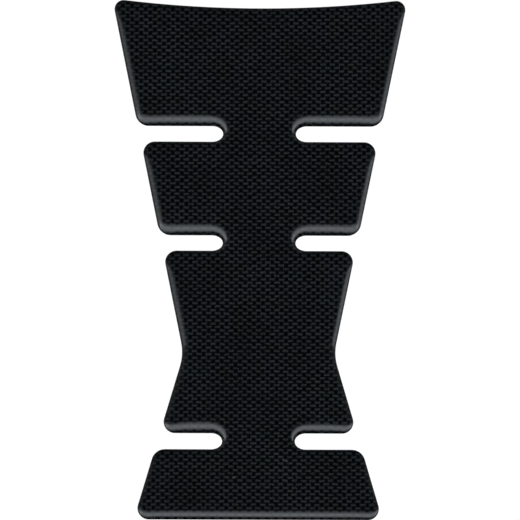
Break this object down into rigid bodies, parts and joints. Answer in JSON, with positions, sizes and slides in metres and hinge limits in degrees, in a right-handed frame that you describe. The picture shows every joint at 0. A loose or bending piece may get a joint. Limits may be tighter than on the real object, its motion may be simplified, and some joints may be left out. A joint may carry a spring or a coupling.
{
  "type": "motorcycle tank pad",
  "caption": "Flat domed protector for a motorcycle's fuel tank: black woven print under clear gloss resin, waisted outline with side slots, adhesive back.",
  "frame": {"origin": "under the middle of the outline's own box, on the flat adhesive back face", "axes": "+Z out of the domed face, +Y along the pad's length towards its wide end, +X across it to the right as seen from the front"},
  "size_m": [0.1174, 0.21, 0.0024],
  "materials": {
    "domed_print": "gloss"
  },
  "bodies": {
    "root": {"tank_pad": "domed_print"}
  },
  "joints": []
}
